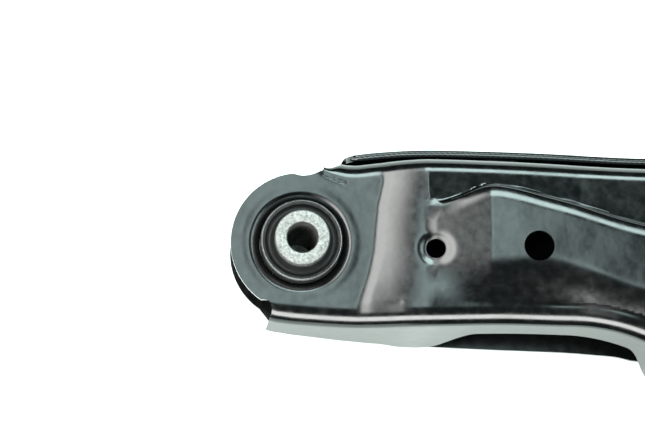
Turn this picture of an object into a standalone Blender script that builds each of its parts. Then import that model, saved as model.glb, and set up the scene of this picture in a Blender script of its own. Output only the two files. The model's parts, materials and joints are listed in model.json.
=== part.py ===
"""Pressed-steel front lower control arm with two rubber bushes and a riveted ball joint.

Dimensions are in millimetres until lift(), which gives metres. The drawing frame has its origin
on the front bush axis: X along the arm to the ball joint, Y across it, Z up. The whole assembly
hangs from one empty that puts the middle of its resting face on the world origin.
"""
import math

import bmesh
import bpy
from mathutils import Vector
from mathutils.geometry import delaunay_2d_cdt

# ---- driving dimensions -------------------------------------------------------------------------
SHEET = 3.0                      # steel sheet of both shells
GAP = 0.3                        # clearance between neighbouring pieces
FRONT = (0.0, 0.0)               # front bush axis
REAR = (95.0, -262.0)            # rear bush axis
NOSE = (345.0, -20.0)            # ball joint axis
FRONT_EAR_R = 33.0
REAR_EAR_R = 40.0
NOSE_R = 39.5
EAR_Z = 19.0                     # outer face of each ear above and below the middle plane
BODY_Z = 23.0                    # outer face of the box section
PAD_RISE = 4.0                   # embossed pad above the box section
BELLY_Z = 28.0                   # depth of the lower shell under the middle plane
TONGUE_Z = SHEET + GAP / 2       # both sheets meet at the ball joint
REST_Z = -34.0                   # plane the arm rests on

GAP_CENTRE = (125.0, -131.0)     # centre of the open side of the arm
GAP_R = 99.0                     # radius where the inner bend starts
TRAY_R = 92.3                    # edge of the lower shell round the open side
INNER_BEND = 7.0
OUTER_BEND = 8.0
INNER_DRAFT = 5.5
OUTER_DRAFT = 3.5
SEAM_Z = -5.0                    # lower edge of the outer wall of the upper shell
RIM_Z = 1.0                      # upper edge of the outer wall of the lower shell

COLLAR_R = 4.6                   # roll of each ear into its bush hole
COLLAR_DEPTH = 9.0
PAD_HOLE = (111.0, -2.0)
PAD_HOLE_R = 7.1
SMALL_HOLE = (63.0, -3.0)
SMALL_HOLE_R = 4.6
DIMPLE_R = 9.5

FRONT_SLEEVE_R = 19.1
FRONT_SLEEVE_HALF = 26.0
REAR_SLEEVE_R = 28.0
REAR_SLEEVE_HALF = 25.0
INNER_SLEEVE_R = 12.75
BORE_R = 7.1
INNER_SLEEVE_HALF = 34.0

BALL_R = 13.5
BALL_Z = -8.0
NECK_R = 20.0
RIVET_CIRCLE = 31.0
RIVET_R = 3.5
STUD_TOP = 70.0
ROUND = 40                       # facets round a turned piece

PLAN_STEP = 13.5
EDGE_STEP = 8.0


# ---- small helpers ------------------------------------------------------------------------------
def smooth(a, b, x):
    t = min(max((x - a) / (b - a), 0.0), 1.0)
    return t * t * (3 - 2 * t)


def distance(p, q):
    return math.hypot(p[0] - q[0], p[1] - q[1])


def arc(centre, radius, start, end, step):
    """Points along an arc; angles in degrees, the ends included."""
    count = max(2, math.ceil(abs(math.radians(end - start)) * radius / step))
    angles = [math.radians(start + (end - start) * i / count) for i in range(count + 1)]
    return [(centre[0] + radius * math.cos(a), centre[1] + radius * math.sin(a)) for a in angles]


def spline(points, step):
    """Catmull-Rom curve through the points, sampled about every step."""
    ends = [points[0]] + list(points) + [points[-1]]
    out = []
    for a, b, c, d in zip(ends, ends[1:], ends[2:], ends[3:]):
        count = max(1, math.ceil(distance(b, c) / step))
        for i in range(count):
            t = i / count
            out.append(tuple(
                0.5 * (2 * b[k] + (c[k] - a[k]) * t
                       + (2 * a[k] - 5 * b[k] + 4 * c[k] - d[k]) * t * t
                       + (3 * b[k] - a[k] - 3 * c[k] + d[k]) * t ** 3)
                for k in (0, 1)))
    out.append(tuple(points[-1]))
    return out


def inside(p, loop):
    hit = False
    for (ax, ay), (bx, by) in zip(loop, loop[1:] + loop[:1]):
        if (ay > p[1]) != (by > p[1]) and p[0] < (bx - ax) * (p[1] - ay) / (by - ay) + ax:
            hit = not hit
    return hit


def to_segment(p, a, b):
    ax, ay = b[0] - a[0], b[1] - a[1]
    t = ((p[0] - a[0]) * ax + (p[1] - a[1]) * ay) / max(ax * ax + ay * ay, 1e-9)
    t = min(max(t, 0.0), 1.0)
    return math.hypot(p[0] - a[0] - t * ax, p[1] - a[1] - t * ay)


def depth_in(p, loop):
    """Distance to the loop, positive inside it."""
    d = min(to_segment(p, a, b) for a, b in zip(loop, loop[1:] + loop[:1]))
    return d if inside(p, loop) else -d


def side_normals(path):
    """Unit vectors to the right of travel, one for each point."""
    out = []
    for i in range(len(path)):
        a = path[max(i - 1, 0)]
        b = path[min(i + 1, len(path) - 1)]
        size = max(distance(a, b), 1e-9)
        out.append(((b[1] - a[1]) / size, (a[0] - b[0]) / size))
    return out


# ---- plan of the arm, counter-clockwise -----------------------------------------------------------
INNER_LINE = (
    spline([(-11, -33), (25, -32.8), (60, -32.2), (95, -31.5), (125, -32)], EDGE_STEP)[:-1]
    + arc(GAP_CENTRE, GAP_R, 90, -93.6, EDGE_STEP)
)
REAR_EAR = arc(REAR, REAR_EAR_R, 53.5, 320, EDGE_STEP)
OUTER_LINE = spline(
    [REAR_EAR[-1], (163, -262), (212, -205), (250, -145), (280, -96), (303, -68)], EDGE_STEP)
NOSE_EDGE = arc(NOSE, NOSE_R, -62, 100, EDGE_STEP)
FAR_LINE = spline([(300, 22), (262, 28), (215, 30), (161, 30.3), (120, 32), (90, 32.8), (60, 33),
                   (40, 31.8), (26, 30.3), (17, 31.2), (10, 34.5)], EDGE_STEP)
FRONT_EAR = ([(5, 32.4), (0.5, 31.8)] + arc(FRONT, FRONT_EAR_R, 97, 232, EDGE_STEP)
             + [(-15.3, -30.0), (-12.2, -32.6)])
PAD = [(67, 17), (78, 23), (91, 26), (105, 24), (118, 20), (130, 16), (139, 13), (151, 8),
       (158, -8), (152, -21), (130, -17), (121, -11), (107, -9), (85, -9), (70, 4)]


def raised(x, y, body, ear):
    """Height of a shell at a place: ears, box section and flat tongue joined smoothly."""
    front = smooth(36, 58, x) if y > -110 else 1.0
    rear = smooth(46, 66, distance((x, y), REAR))
    z = ear + (body - ear) * min(front, rear)
    return TONGUE_Z + (z - TONGUE_Z) * smooth(60, 96, distance((x, y), NOSE))


def upper_height(x, y):
    pad = smooth(-9, 4, depth_in((x, y), PAD)) if 40 < x < 175 and y > -40 else 0.0
    return raised(x, y, BODY_Z, EAR_Z) + PAD_RISE * pad


def lower_height(x, y):
    return -raised(x, y, BELLY_Z, EAR_Z)


# ---- meshes ---------------------------------------------------------------------------------------
def lift(co):
    return (co[0] * 0.001, co[1] * 0.001, co[2] * 0.001)


def add_object(name, bm, material, parent):
    """Put a finished bmesh, in millimetres about the world's drawing origin, in the scene."""
    bmesh.ops.recalc_face_normals(bm, faces=bm.faces)
    mesh = bpy.data.meshes.new(name)
    bm.to_mesh(mesh)
    bm.free()
    place = Vector((0, 0, 0))
    holder = parent
    while holder.name != "control_arm":
        place += holder.location
        holder = holder.parent
    for v in mesh.vertices:
        v.co = Vector(lift(v.co)) - place
    mesh.materials.append(material)
    obj = bpy.data.objects.new(name, mesh)
    bpy.context.collection.objects.link(obj)
    obj.parent = parent
    return obj


def plan_mesh(bm, loop, holes, height, step):
    """Triangulate the plan between a loop and its holes; returns the vertices of each ring."""
    rings = [loop] + holes
    points = [p for ring in rings for p in ring]
    edges = []
    base = 0
    for ring in rings:
        edges += [(base + i, base + (i + 1) % len(ring)) for i in range(len(ring))]
        base += len(ring)
    xs = [p[0] for p in loop]
    ys = [p[1] for p in loop]
    row = 0
    y = min(ys)
    while y < max(ys):
        x = min(xs) + (step / 2 if row % 2 else 0)
        while x < max(xs):
            if depth_in((x, y), loop) > 0.6 * step and all(
                    depth_in((x, y), hole) < -0.55 * step for hole in holes):
                points.append((x, y))
            x += step
        y += step * 0.87
        row += 1
    flat, _, faces, origins, _, _ = delaunay_2d_cdt([Vector(p) for p in points], edges, [], 0, 1e-4)
    verts = [bm.verts.new((p.x, p.y, height(p.x, p.y))) for p in flat]
    place = {k: i for i, found in enumerate(origins) for k in found}
    for face in faces:
        mid = sum((flat[i] for i in face), Vector((0, 0))) / 3
        if inside(mid, loop) and not any(inside(mid, hole) for hole in holes):
            bm.faces.new([verts[i] for i in face])
    out = []
    base = 0
    for ring in rings:
        out.append([verts[place[base + i]] for i in range(len(ring))])
        base += len(ring)
    return out


def add_rows(bm, first, rows):
    """Quads from a line of vertices out through rows of points."""
    last = first
    for row in rows:
        fresh = [bm.verts.new(p) for p in row]
        for i in range(len(first) - 1):
            bm.faces.new((last[i], fresh[i], fresh[i + 1], last[i + 1]))
        last = fresh


def add_collar(bm, ring, centre, profile):
    """Closed rings of (radius, z) inward from a hole's ring of vertices."""
    count = len(ring)
    last = ring
    angles = [math.atan2(v.co.y - centre[1], v.co.x - centre[0]) for v in ring]
    for radius, z in profile:
        fresh = [bm.verts.new((centre[0] + radius * math.cos(a), centre[1] + radius * math.sin(a), z))
                 for a in angles]
        for i in range(count):
            j = (i + 1) % count
            bm.faces.new((last[i], last[j], fresh[j], fresh[i]))
        last = fresh


def collar(inner, z, side):
    """Profile of an ear's hole: rolled in to a short neck that grips the sleeve."""
    turns = [math.radians(90 * i / 4) for i in range(1, 5)]
    points = [(inner + COLLAR_R * (1 - math.sin(a)), side * (z - COLLAR_R * (1 - math.cos(a))))
              for a in turns]
    return points + [(inner, side * (z - COLLAR_DEPTH))]


def wall_rows(line, tops, bottoms, bend, draft, steps):
    """Rows of points down a rounded bend and a drafted wall, to the right of a line."""
    normals = side_normals(line)
    rows = []
    turns = 5
    for k in range(1, turns + steps + 1):
        row = []
        for (x, y), (nx, ny), top, bottom in zip(line, normals, tops, bottoms):
            drop = top - bottom
            r = min(bend, 0.75 * abs(drop))
            sign = 1 if drop > 0 else -1
            if k <= turns:
                a = math.radians(84 * k / turns)
                out, down = r * math.sin(a), r * (1 - math.cos(a))
            else:
                a = math.radians(84)
                start = r * (1 - math.cos(a))
                t = (k - turns) / steps
                down = start + (abs(drop) - start) * t
                out = r * math.sin(a) + draft * t * min(1.0, abs(drop) / 40)
            row.append((x + nx * out, y + ny * out, top - sign * down))
        rows.append(row)
    return rows


def hole_ring(centre, radius, count):
    angles = [2 * math.pi * i / count for i in range(count)]
    return [(centre[0] + radius * math.cos(a), centre[1] + radius * math.sin(a)) for a in angles]


def thicken(obj):
    solid = obj.modifiers.new("sheet", "SOLIDIFY")
    solid.thickness = SHEET * 0.001
    solid.offset = -1
    solid.use_even_offset = True
    solid.use_quality_normals = True


def surface_object(name, bm, material, parent, down):
    """Add an open pressed surface whose outer face looks up, or down for a lower shell."""
    if down:
        bmesh.ops.reverse_faces(bm, faces=bm.faces)
    mesh = bpy.data.meshes.new(name)
    bm.to_mesh(mesh)
    bm.free()
    for v in mesh.vertices:
        v.co = lift(v.co)
    mesh.materials.append(material)
    obj = bpy.data.objects.new(name, mesh)
    bpy.context.collection.objects.link(obj)
    obj.parent = parent
    thicken(obj)
    return obj


def lathe(name, profile, material, parent, centre=(0.0, 0.0), count=ROUND):
    """Turn a closed (radius, z) profile round the Z axis at centre."""
    bm = bmesh.new()
    rings = []
    for radius, z in profile:
        if radius < 1e-6:
            rings.append([bm.verts.new((centre[0], centre[1], z))])
            continue
        rings.append([bm.verts.new((centre[0] + radius * math.cos(2 * math.pi * i / count),
                                    centre[1] + radius * math.sin(2 * math.pi * i / count), z))
                      for i in range(count)])
    for a, b in zip(rings, rings[1:] + rings[:1]):
        if len(a) == 1 and len(b) == 1:
            continue
        for i in range(count):
            j = (i + 1) % count
            corners = [a[i % len(a)], a[j % len(a)], b[j % len(b)], b[i % len(b)]]
            bm.faces.new(list(dict.fromkeys(corners)))
    return add_object(name, bm, material, parent)


def prism(name, loop, holes, z0, z1, material, parent):
    """Straight extrusion of a plan with holes."""
    bm = bmesh.new()
    low = plan_mesh(bm, loop, holes, lambda x, y: z0, 1e6)
    bmesh.ops.reverse_faces(bm, faces=bm.faces)
    high = plan_mesh(bm, loop, holes, lambda x, y: z1, 1e6)
    for k, (a, b) in enumerate(zip(low, high)):
        for i in range(len(a)):
            j = (i + 1) % len(a)
            bm.faces.new((a[i], a[j], b[j], b[i]))
    return add_object(name, bm, material, parent)


def sweep(name, line, section, material, parent):
    """Sweep closed sections, one list of (out, z) for each point of the line."""
    bm = bmesh.new()
    normals = side_normals(line)
    rings = []
    for (x, y), (nx, ny), pts in zip(line, normals, section):
        rings.append([bm.verts.new((x + nx * out, y + ny * out, z)) for out, z in pts])
    for a, b in zip(rings, rings[1:]):
        for i in range(len(a)):
            j = (i + 1) % len(a)
            bm.faces.new((a[i], a[j], b[j], b[i]))
    bm.faces.new(rings[0])
    bm.faces.new(rings[-1][::-1])
    return add_object(name, bm, material, parent)


def cutter(name, loops_z, parent):
    """Hidden closed prism for a boolean: (loop, z0, z1)."""
    loop, z0, z1 = loops_z
    obj = prism(name, loop, [], z0, z1, None, parent)
    return hide(obj)


def hide(obj):
    obj.hide_render = True
    obj.display_type = "WIRE"
    return obj


def cut(obj, tool):
    mod = obj.modifiers.new("cut_" + tool.name, "BOOLEAN")
    mod.operation = "DIFFERENCE"
    mod.solver = "EXACT"
    mod.object = tool


def make_material(name, colour, metallic, roughness):
    mat = bpy.data.materials.new(name)
    mat.use_nodes = True
    shader = mat.node_tree.nodes["Principled BSDF"]
    shader.inputs["Base Color"].default_value = (*colour, 1)
    shader.inputs["Metallic"].default_value = metallic
    shader.inputs["Roughness"].default_value = roughness
    return mat


def pivot(name, at, parent):
    """Empty on a joint's axis, given in drawing millimetres."""
    obj = bpy.data.objects.new(name, None)
    obj.empty_display_size = 0.02
    bpy.context.collection.objects.link(obj)
    obj.parent = parent
    obj.location = lift(at)
    return obj


# ---- the two shells -------------------------------------------------------------------------------
def shell_holes():
    rivets = [(NOSE[0] + RIVET_CIRCLE * math.cos(math.radians(a)),
               NOSE[1] + RIVET_CIRCLE * math.sin(math.radians(a))) for a in (20, 140, 260)]
    return rivets


def near_bottom(x, y):
    """Lower edge of the inner wall of the upper shell, with its long arch."""
    if y < -60:
        x = 200
    full = lower_height(x, min(y, -30)) - 2.2
    if y > -60:
        full += (SHEET + GAP + 2.8) * (1 - smooth(172, 184, x))
        full = -1.5 + (full + 1.5) * smooth(-15, 62, x)
        arch = smooth(58, 84, x) * (1 - smooth(160, 182, x))
        full += (5.0 - full) * arch
    return full


def build_upper(material, parent):
    bm = bmesh.new()
    loop = INNER_LINE + REAR_EAR[1:] + OUTER_LINE[1:] + NOSE_EDGE + FAR_LINE + FRONT_EAR
    rivets = shell_holes()
    holes = [hole_ring(FRONT, FRONT_SLEEVE_R + GAP + COLLAR_R, 32),
             hole_ring(REAR, REAR_SLEEVE_R + GAP + COLLAR_R, 36),
             hole_ring(NOSE, NECK_R + 0.5, 32), hole_ring(PAD_HOLE, PAD_HOLE_R, 20),
             hole_ring(SMALL_HOLE, DIMPLE_R, 18)]
    holes += [hole_ring(p, RIVET_R + 0.4, 12) for p in rivets]
    rings = plan_mesh(bm, loop, holes, upper_height, PLAN_STEP)
    edge = rings[0]
    add_collar(bm, rings[1], FRONT, collar(FRONT_SLEEVE_R + GAP, EAR_Z, 1))
    add_collar(bm, rings[2], REAR, collar(REAR_SLEEVE_R + GAP, EAR_Z, 1))
    pad = upper_height(*SMALL_HOLE)
    add_collar(bm, rings[5], SMALL_HOLE, [(SMALL_HOLE_R + 1.5, pad - 1.9), (SMALL_HOLE_R, pad - 2.2)])
    start = 0
    first = edge[:len(INNER_LINE)]
    tops = [v.co.z for v in first]
    bottoms = [near_bottom(*p) for p in INNER_LINE]
    add_rows(bm, first, wall_rows(INNER_LINE, tops, bottoms, INNER_BEND, INNER_DRAFT, 3))
    start = len(INNER_LINE) + len(REAR_EAR) - 2
    first = edge[start:start + len(OUTER_LINE)]
    tops = [v.co.z for v in first]
    bottoms = [outer_bottom(i, len(first), top) for i, top in enumerate(tops)]
    add_rows(bm, first, wall_rows(OUTER_LINE, tops, bottoms, OUTER_BEND, OUTER_DRAFT, 2))
    start += len(OUTER_LINE) + len(NOSE_EDGE)
    first = edge[start:start + len(FAR_LINE)]
    tops = [v.co.z for v in first]
    bottoms = [outer_bottom(i, len(first), top, 0.2) for i, top in enumerate(tops)]
    add_rows(bm, first, wall_rows(FAR_LINE, tops, bottoms, OUTER_BEND, OUTER_DRAFT, 2))
    surface_object("upper_shell", bm, material, parent, False)


def outer_bottom(i, count, top, last=0.4):
    """Lower edge of an outer wall: shallow at both of its ends."""
    least = 0.4 if i < count / 2 else last
    along = min(i, count - 1 - i) * EDGE_STEP
    return top - (top - SEAM_Z) * (least + (1 - least) * smooth(0, 28, along))


def rim_top(i, count, low):
    along = min(i, count - 1 - i) * EDGE_STEP
    return low + (RIM_Z - low) * (0.4 + 0.6 * smooth(0, 28, along))


def shifted(line, amount):
    normals = side_normals(line)
    return [(x + nx * amount, y + ny * amount) for (x, y), (nx, ny) in zip(line, normals)]


LOWER_OUT = OUTER_DRAFT + SHEET + GAP + 0.6
LOWER_INNER = (spline([(-11, -37.0), (19, -40.5), (56, -43.6), (92, -45.3), (129, -46.6),
                       (147, -47.8), (157, -48.7), (165, -50.6)], EDGE_STEP)[:-1]
               + arc(GAP_CENTRE, TRAY_R, 60, -93.6, EDGE_STEP))
LOWER_OUTER = shifted(OUTER_LINE, LOWER_OUT)
LOWER_FAR = shifted(FAR_LINE, LOWER_OUT)


def build_lower(material, parent):
    bm = bmesh.new()
    loop = LOWER_INNER + REAR_EAR[1:-1] + LOWER_OUTER + NOSE_EDGE + LOWER_FAR + FRONT_EAR
    holes = [hole_ring(FRONT, FRONT_SLEEVE_R + GAP + COLLAR_R, 32),
             hole_ring(REAR, REAR_SLEEVE_R + GAP + COLLAR_R, 36), hole_ring(NOSE, NECK_R + 0.5, 32)]
    holes += [hole_ring(p, RIVET_R + 0.4, 12) for p in shell_holes()]
    rings = plan_mesh(bm, loop, holes, lower_height, PLAN_STEP)
    edge = rings[0]
    add_collar(bm, rings[1], FRONT, collar(FRONT_SLEEVE_R + GAP, EAR_Z, -1))
    add_collar(bm, rings[2], REAR, collar(REAR_SLEEVE_R + GAP, EAR_Z, -1))
    start = len(LOWER_INNER) + len(REAR_EAR) - 2
    first = edge[start:start + len(LOWER_OUTER)]
    tops = [v.co.z for v in first]
    bottoms = [rim_top(i, len(first), top) for i, top in enumerate(tops)]
    add_rows(bm, first, wall_rows(LOWER_OUTER, tops, bottoms, OUTER_BEND, 0.0, 3))
    start += len(LOWER_OUTER) + len(NOSE_EDGE)
    first = edge[start:start + len(LOWER_FAR)]
    tops = [v.co.z for v in first]
    bottoms = [rim_top(i, len(first), top) for i, top in enumerate(tops)]
    add_rows(bm, first, wall_rows(LOWER_FAR, tops, bottoms, OUTER_BEND, 0.0, 3))
    surface_object("lower_shell", bm, material, parent, True)


def build_welds(material, parent):
    """Beads along the outer rim and in the corner of the inner wall."""
    for name, line in (("rim_weld_outer", OUTER_LINE), ("rim_weld_far", FAR_LINE)):
        part = line[4:-4]
        out = OUTER_BEND + OUTER_DRAFT
        bead = [(out + 0.4, RIM_Z + GAP), (out + 3.2, RIM_Z + GAP), (out + 2.6, RIM_Z + 1.6),
                (out + 0.4, RIM_Z + 3.0)]
        sweep(name, part, [bead] * len(part), material, parent)
    part = INNER_LINE[24:-7]
    sections = []
    for x, y in part:
        z = lower_height(x, y) - 0.8
        sections.append([(6.4, z), (8.2, z), (8.2, z - 2.2)])
    sweep("inner_weld_arc", part, sections, material, parent)


# ---- bushes ---------------------------------------------------------------------------------------
def sleeve_profile(outer, inner, half, chamfer, mid=0.0):
    c = chamfer
    low, high = mid - half, mid + half
    return [(outer, low + c), (outer, high - c), (outer - c, high), (inner + c, high),
            (inner, high - c), (inner, low + c), (inner + c, low), (outer - c, low)]


def build_front_bush(steel, bare, rubber, parent, turning):
    lathe("front_bush_outer_sleeve", sleeve_profile(FRONT_SLEEVE_R, 16.9, FRONT_SLEEVE_HALF, 0.5),
          steel, parent)
    a, b = INNER_SLEEVE_R + GAP, 16.9 - GAP
    top = FRONT_SLEEVE_HALF
    lathe("front_bush_rubber",
          [(b, -top + 1.5), (b, top - 1.5), (b - 0.9, top - 3.5), (a + 1.0, top - 2.5), (a, top + 1.0),
           (a, -top - 1.0), (a + 1.0, -top + 2.5), (b - 0.9, -top + 3.5)], rubber, parent)
    lathe("front_bush_inner_sleeve", sleeve_profile(INNER_SLEEVE_R, BORE_R, INNER_SLEEVE_HALF, 0.6),
          bare, turning)


def kidney(centre, r0, r1, start, end):
    outer = arc(centre, r1, start, end, 4.0)
    inner = arc(centre, r0, end, start, 3.0)
    return outer + inner


def build_rear_bush(steel, bare, rubber, parent, turning):
    lathe("rear_bush_outer_sleeve", sleeve_profile(REAR_SLEEVE_R, 25.8, REAR_SLEEVE_HALF, 0.6),
          steel, parent, REAR)
    ring = hole_ring(REAR, 25.5, ROUND)
    bore = hole_ring(REAR, INNER_SLEEVE_R + GAP, ROUND)
    voids = [kidney(REAR, 17.5, 22.0, 35, 145), kidney(REAR, 17.5, 22.0, 215, 325)]
    prism("rear_bush_rubber", ring, [bore] + voids, -REAR_SLEEVE_HALF + 2, REAR_SLEEVE_HALF - 2,
          rubber, parent)
    lathe("rear_bush_inner_sleeve", sleeve_profile(INNER_SLEEVE_R, BORE_R, INNER_SLEEVE_HALF, 0.6),
          bare, turning, REAR)


# ---- ball joint -----------------------------------------------------------------------------------
def ball_arc(radius, top_angle, bottom_angle, count, z):
    """(radius, z) points on a sphere; angles up from its equator."""
    angles = [math.radians(top_angle + (bottom_angle - top_angle) * i / count)
              for i in range(count + 1)]
    return [(radius * math.cos(a), z + radius * math.sin(a)) for a in angles]


def build_ball_joint(mats, parent, base, neck, spin):
    flange = -TONGUE_Z - GAP
    housing = lathe(
          "ball_joint_housing",
          [(22, REST_Z + 1), (22, flange - 7), (23, flange - 5.5), (37.5, flange - 5.5), (38, flange - 5),
           (38, flange - 0.4), (37.6, flange), (NECK_R, flange), (NECK_R, 6.4), (NECK_R - 0.6, 7),
           (16.2, 7), (15.6, 6.4), (15.6, 3.2), (17.3, 3.0), (17.3, -28.2), (19.2, -28.2),
           (19.2, REST_Z + 0.6), (20.2, REST_Z), (21, REST_Z)],
          mats["forged"], parent, NOSE)
    pocket = ball_arc(BALL_R + GAP, 26, -90, 12, BALL_Z)
    lathe("ball_seat", [(17, -27.9), (17, 2.6), (15.8, 2.6)] + pocket + [(0, -27.9)], mats["plastic"],
          parent, NOSE)
    lathe("ball_joint_cap", [(0, -31.4), (18.6, -31.4), (18.9, -31.0), (18.9, -28.9), (18.5, -28.5),
                             (0, -28.5)], mats["plated"], parent, NOSE)
    stud = [(0, BALL_Z - BALL_R)] + ball_arc(BALL_R, -80, 58, 14, BALL_Z)
    stud += [(7.0, 6.5), (7.2, 14), (10.0, 19.5), (10.0, 28), (8.5, 48), (7.0, 48.4), (7.0, STUD_TOP - 1.2),
             (5.8, STUD_TOP), (0, STUD_TOP)]
    ball = lathe("ball_stud", stud, mats["machined"], spin, NOSE)
    pin_z = 58.6
    hole = pin_solid("stud_pin_hole", 2.0, 12.0, pin_z, None, spin)
    cut(ball, hide(hole))
    hexagon = [(NOSE[0] + 12.7 * math.cos(math.radians(60 * i)),
                NOSE[1] + 12.7 * math.sin(math.radians(60 * i))) for i in range(6)]
    bore = hole_ring(NOSE, 7.35, 24)
    nut = prism("castle_nut", hexagon, [bore], 49.0, 62.0, mats["plated"], spin)
    for i in range(3):
        a = math.radians(30 + 60 * i)
        ux, uy = math.cos(a), math.sin(a)
        slot = [(NOSE[0] + s * 16 * ux - t * 1.9 * uy, NOSE[1] + s * 16 * uy + t * 1.9 * ux)
                for s, t in ((-1, -1), (1, -1), (1, 1), (-1, 1))]
        cut(nut, cutter("nut_slot_%d" % (i + 1), (slot, 56.5, 63.0), spin))
    pin_solid("cotter_pin", 1.5, 15.5, pin_z, mats["plated"], spin)
    lathe("dust_boot",
          [(20.3, 3.6), (23.2, 3.6), (23.4, 4.4), (23.0, 4.9), (23.0, 7.3), (23.6, 8.0), (25.4, 11.5),
           (24.4, 15.5), (19.5, 19.0), (14.2, 21.2), (13.0, 23.0), (12.4, 23.6), (12.4, 25.8),
           (12.8, 26.4), (12.4, 27.2), (10.3, 27.2), (10.3, 22.4), (12.2, 20.2), (18.2, 17.4),
           (22.6, 14.4), (23.6, 11.5), (22.0, 9.2), (20.3, 8.4)],
          mats["rubber"], base, NOSE)
    lathe("boot_lower_ring", sleeve_profile(24.4, 23.3, 0.9, 0.2, 6.1), mats["plated"], base, NOSE)
    lathe("boot_upper_ring", sleeve_profile(13.7, 12.7, 0.8, 0.2, 24.7), mats["plated"], neck, NOSE)
    for i, (x, y) in enumerate(shell_holes()):
        drill = hole_ring((x, y), RIVET_R + 0.4, 12)
        cut(housing, cutter("rivet_hole_%d" % (i + 1), (drill, flange - 12, flange + 2), parent))
        top, low = TONGUE_Z + GAP, flange - 5.5 - GAP
        lathe("ball_joint_rivet_%d" % (i + 1),
              [(0, low - 3), (4.5, low - 2.8), (6.0, low - 1.6), (6.2, low), (RIVET_R, low),
               (RIVET_R, top), (6.2, top), (6.0, top + 1.6), (4.5, top + 2.8), (0, top + 3)],
              mats["plated"], parent, (x, y), 20)


def pin_solid(name, radius, half, z, material, parent):
    """Bar across the stud, along the 30 degree slot of the nut."""
    bm = bmesh.new()
    a = math.radians(30)
    ux, uy = math.cos(a), math.sin(a)
    rings = []
    for s in (-half, half):
        ring = []
        for i in range(12):
            t = 2 * math.pi * i / 12
            side, up = radius * math.cos(t), radius * math.sin(t)
            ring.append(bm.verts.new((NOSE[0] + s * ux - side * uy, NOSE[1] + s * uy + side * ux, z + up)))
        rings.append(ring)
    for i in range(12):
        j = (i + 1) % 12
        bm.faces.new((rings[0][i], rings[0][j], rings[1][j], rings[1][i]))
    bm.faces.new(rings[0][::-1])
    bm.faces.new(rings[1])
    return add_object(name, bm, material, parent)


def main():
    for obj in list(bpy.data.objects):
        bpy.data.objects.remove(obj, do_unlink=True)
    paint = make_material("black_paint", (0.012, 0.013, 0.014), 0.0, 0.2)
    mats = {
        "forged": make_material("forged_black", (0.03, 0.03, 0.032), 0.4, 0.5),
        "plastic": make_material("seat_plastic", (0.75, 0.74, 0.7), 0.0, 0.45),
        "plated": make_material("zinc_plate", (0.55, 0.56, 0.57), 1.0, 0.38),
        "machined": make_material("machined_steel", (0.5, 0.5, 0.5), 1.0, 0.3),
        "rubber": make_material("boot_rubber", (0.015, 0.015, 0.015), 0.0, 0.7),
    }
    steel = make_material("sleeve_steel", (0.2, 0.2, 0.21), 0.8, 0.4)
    bare = make_material("bare_sleeve", (0.6, 0.6, 0.59), 0.8, 0.5)
    weld = make_material("painted_weld", (0.02, 0.02, 0.022), 0.0, 0.3)
    arm = bpy.data.objects.new("control_arm", None)
    bpy.context.collection.objects.link(arm)
    arm.location = lift(SHIFT)
    front = pivot("front_bush_axis", (FRONT[0], FRONT[1], 0), arm)
    rear = pivot("rear_bush_axis", (REAR[0], REAR[1], 0), arm)
    base = pivot("boot_turn", (NOSE[0], NOSE[1], BALL_Z), arm)
    neck = pivot("boot_tilt", (0, 0, 0), base)
    spin = pivot("stud_spin", (0, 0, 0), neck)
    build_upper(paint, arm)
    build_lower(paint, arm)
    build_welds(weld, arm)
    build_front_bush(steel, bare, mats["rubber"], arm, front)
    build_rear_bush(steel, bare, mats["rubber"], arm, rear)
    build_ball_joint(mats, arm, base, neck, spin)


SHIFT = (-175.71, 126.70, 34.0)    # puts the middle of the resting face on the world origin

main()
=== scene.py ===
"""Looks for the pressed-steel control arm: fine pressed shells, bushes, ball joint and studio.

Lengths are in millimetres in the arm's drawing frame, whose origin is the front bush axis at the
middle plane (X towards the ball joint, Z up); place() turns them into world metres.
"""
import json
import math

import bmesh
import bpy
import numpy as np
from mathutils import Matrix, Vector, noise
from mathutils.geometry import delaunay_2d_cdt


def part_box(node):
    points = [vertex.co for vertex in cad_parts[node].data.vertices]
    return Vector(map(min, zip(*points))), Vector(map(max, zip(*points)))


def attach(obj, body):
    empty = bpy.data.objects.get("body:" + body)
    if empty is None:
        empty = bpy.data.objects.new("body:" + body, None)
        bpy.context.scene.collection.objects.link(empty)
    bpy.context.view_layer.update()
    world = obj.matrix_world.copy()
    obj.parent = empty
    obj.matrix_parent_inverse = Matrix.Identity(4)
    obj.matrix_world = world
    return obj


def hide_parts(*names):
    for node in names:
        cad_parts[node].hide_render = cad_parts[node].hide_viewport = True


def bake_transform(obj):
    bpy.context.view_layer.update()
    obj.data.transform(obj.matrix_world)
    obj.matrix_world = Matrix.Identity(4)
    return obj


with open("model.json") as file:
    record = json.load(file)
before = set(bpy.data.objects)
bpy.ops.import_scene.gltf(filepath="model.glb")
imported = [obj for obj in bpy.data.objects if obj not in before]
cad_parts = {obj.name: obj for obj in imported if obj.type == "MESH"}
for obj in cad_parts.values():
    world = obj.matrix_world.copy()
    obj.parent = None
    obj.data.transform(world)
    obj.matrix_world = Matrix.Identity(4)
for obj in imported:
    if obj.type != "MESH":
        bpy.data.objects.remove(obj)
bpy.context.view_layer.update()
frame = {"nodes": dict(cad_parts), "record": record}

# ---- where the frame is ----
def middle(node):
    low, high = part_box(node)
    return (Vector(low) + Vector(high)) / 2


def axis_in_plan(node):
    offset = (middle(node) - ORIGIN) * 1000
    return (round(offset.x, 2), round(offset.y, 2))


ORIGIN = middle("front_bush_inner_sleeve")
FRONT = (0.0, 0.0)
REAR = axis_in_plan("rear_bush_inner_sleeve")
NOSE = axis_in_plan("ball_stud")

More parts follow.
